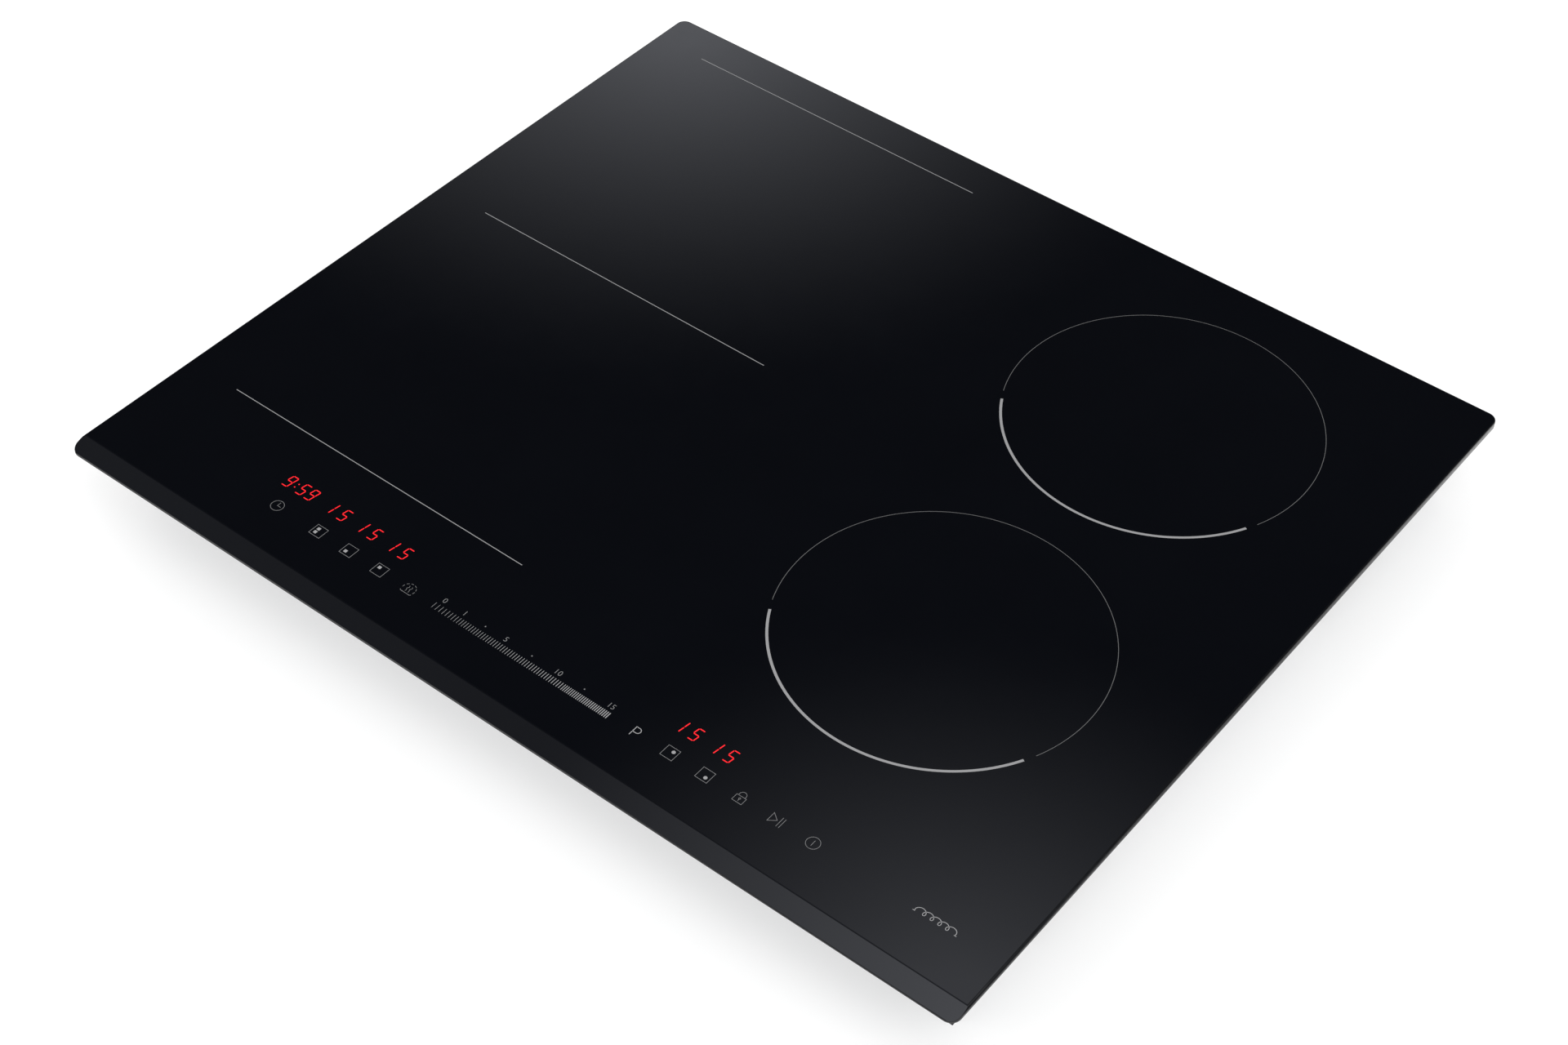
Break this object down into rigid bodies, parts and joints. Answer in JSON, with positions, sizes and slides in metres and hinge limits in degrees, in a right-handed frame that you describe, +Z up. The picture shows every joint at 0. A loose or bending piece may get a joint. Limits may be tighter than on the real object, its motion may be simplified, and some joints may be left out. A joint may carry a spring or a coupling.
{
  "type": "built-in induction cooktop",
  "caption": "Built-in electric induction cooktop: black glass top with bevelled front edge over a shallow sheet steel case, sprung coils, fans, hinged terminal lid and swivel worktop clamps.",
  "frame": {"origin": "centre of the plan at the underside of the case", "axes": "+X towards the user's right, +Y towards the rear, +Z up out of the glass"},
  "size_m": [0.59, 0.52, 0.057],
  "materials": {
    "black_glass_ceramic": "polished near-black glass ceramic",
    "foam_seal": "closed-cell foam tape",
    "silicone": "cured silicone bead",
    "galvanised_sheet": "galvanised steel sheet, faint spangle",
    "zinc_screws": "zinc plated",
    "deck_aluminium": "mill finish sheet",
    "post_plastic": "natural nylon",
    "carrier_plastic": "glass filled heat resistant plastic",
    "ferrite": "sintered ferrite",
    "litz_copper": "enamelled litz copper",
    "mica": "pressed mica sheet",
    "sensor_plastic": "white silicone sleeve",
    "spring_steel": "drawn spring wire",
    "green_board": "solder masked fibre board",
    "sink_aluminium": "extruded aluminium",
    "chip_black": "moulded epoxy packages",
    "capacitor_plastic": "boxed film capacitors",
    "choke_winding": "wound toroid",
    "fan_plastic": "black moulded plastic",
    "terminal_plastic": "dark grey flame retardant plastic",
    "block_plastic": "off-white terminal moulding",
    "terminal_brass": "brass screws",
    "clamp_plastic": "grey nylon",
    "wire_insulation": "plastic wire insulation",
    "display_resin": "dark red tinted resin",
    "conductive_foam": "conductive foam",
    "bracket_plastic": "dark moulded plastic",
    "clamp_steel": "zinc plated pressed steel"
  },
  "bodies": {
    "hob": {"ceramic_glass_panel": "black_glass_ceramic", "worktop_seal": "foam_seal", "silicone_bond": "silicone", "glass_frame": "galvanised_sheet", "bottom_case": "galvanised_sheet", "panel_screws": "zinc_screws", "coil_deck_left": "deck_aluminium", "coil_deck_right": "deck_aluminium", "deck_posts": "post_plastic", "power_board_left": "green_board", "power_board_right": "green_board", "mains_filter_board": "green_board", "board_spacers": "post_plastic", "heat_sinks": "sink_aluminium", "power_transistors": "chip_black", "film_capacitors": "capacitor_plastic", "filter_chokes": "choke_winding", "fan_housing_left": "fan_plastic", "fan_housing_right": "fan_plastic", "terminal_box": "terminal_plastic", "terminal_block": "block_plastic", "terminal_screws": "terminal_brass", "cable_clamp": "clamp_plastic", "wiring": "wire_insulation", "control_board": "green_board", "display_modules": "display_resin", "touch_contacts": "conductive_foam", "control_bracket": "bracket_plastic", "clamp_bolts": "zinc_screws", "coil_springs_rear_left": "spring_steel", "coil_springs_front_left": "spring_steel", "coil_springs_rear_right": "spring_steel", "coil_springs_front_right": "spring_steel"},
    "coil_rear_left": {"coil_carrier_rear_left": "carrier_plastic", "ferrite_bars_rear_left": "ferrite", "coil_winding_rear_left": "litz_copper", "insulation_sheet_rear_left": "mica", "temperature_sensor_rear_left": "sensor_plastic"},
    "coil_front_left": {"coil_carrier_front_left": "carrier_plastic", "ferrite_bars_front_left": "ferrite", "coil_winding_front_left": "litz_copper", "insulation_sheet_front_left": "mica", "temperature_sensor_front_left": "sensor_plastic"},
    "coil_rear_right": {"coil_carrier_rear_right": "carrier_plastic", "ferrite_bars_rear_right": "ferrite", "coil_winding_rear_right": "litz_copper", "insulation_sheet_rear_right": "mica", "temperature_sensor_rear_right": "sensor_plastic"},
    "coil_front_right": {"coil_carrier_front_right": "carrier_plastic", "ferrite_bars_front_right": "ferrite", "coil_winding_front_right": "litz_copper", "insulation_sheet_front_right": "mica", "temperature_sensor_front_right": "sensor_plastic"},
    "rotor_left": {"fan_rotor_left": "fan_plastic"},
    "rotor_right": {"fan_rotor_right": "fan_plastic"},
    "terminal_lid": {"terminal_cover": "terminal_plastic"},
    "clamp_rear_left": {"worktop_clamp_rear_left": "clamp_steel"},
    "clamp_front_left": {"worktop_clamp_front_left": "clamp_steel"},
    "clamp_rear_right": {"worktop_clamp_rear_right": "clamp_steel"},
    "clamp_front_right": {"worktop_clamp_front_right": "clamp_steel"}
  },
  "joints": [
    {"name": "fan_spin_left", "type": "hinge", "parent": "hob", "child": "rotor_left", "pos_m": [-0.116, 0.162, 0.015], "axis": [0, 0, 1], "continuous": true},
    {"name": "fan_spin_right", "type": "hinge", "parent": "hob", "child": "rotor_right", "pos_m": [0.116, 0.162, 0.015], "axis": [0, 0, 1], "continuous": true},
    {"name": "coil_float_rear_left", "type": "slide", "parent": "hob", "child": "coil_rear_left", "axis": [0, 0, -1], "range_m": [0, 0.0025], "stiffness_N_per_m": 5000, "springref_m": -0.004, "deforming": ["coil_springs_rear_left"]},
    {"name": "coil_float_front_left", "type": "slide", "parent": "hob", "child": "coil_front_left", "axis": [0, 0, -1], "range_m": [0, 0.0025], "stiffness_N_per_m": 5000, "springref_m": -0.004, "deforming": ["coil_springs_front_left"]},
    {"name": "coil_float_rear_right", "type": "slide", "parent": "hob", "child": "coil_rear_right", "axis": [0, 0, -1], "range_m": [0, 0.0025], "stiffness_N_per_m": 5000, "springref_m": -0.004, "deforming": ["coil_springs_rear_right"]},
    {"name": "coil_float_front_right", "type": "slide", "parent": "hob", "child": "coil_front_right", "axis": [0, 0, -1], "range_m": [0, 0.0025], "stiffness_N_per_m": 5000, "springref_m": -0.004, "deforming": ["coil_springs_front_right"]},
    {"name": "terminal_lid_hinge", "type": "hinge", "parent": "hob", "child": "terminal_lid", "pos_m": [0.226, 0.2436, 0.0346], "axis": [1, 0, 0], "range_deg": [0, 100]},
    {"name": "clamp_swivel_rear_left", "type": "hinge", "parent": "hob", "child": "clamp_rear_left", "pos_m": [-0.262, 0.122, 0.004], "axis": [0, 0, 1], "range_deg": [0, 90]},
    {"name": "clamp_swivel_front_left", "type": "hinge", "parent": "hob", "child": "clamp_front_left", "pos_m": [-0.262, -0.153, 0.004], "axis": [0, 0, 1], "range_deg": [0, 90]},
    {"name": "clamp_swivel_rear_right", "type": "hinge", "parent": "hob", "child": "clamp_rear_right", "pos_m": [0.262, 0.122, 0.004], "axis": [0, 0, -1], "range_deg": [0, 90]},
    {"name": "clamp_swivel_front_right", "type": "hinge", "parent": "hob", "child": "clamp_front_right", "pos_m": [0.262, -0.153, 0.004], "axis": [0, 0, -1], "range_deg": [0, 90]}
  ]
}
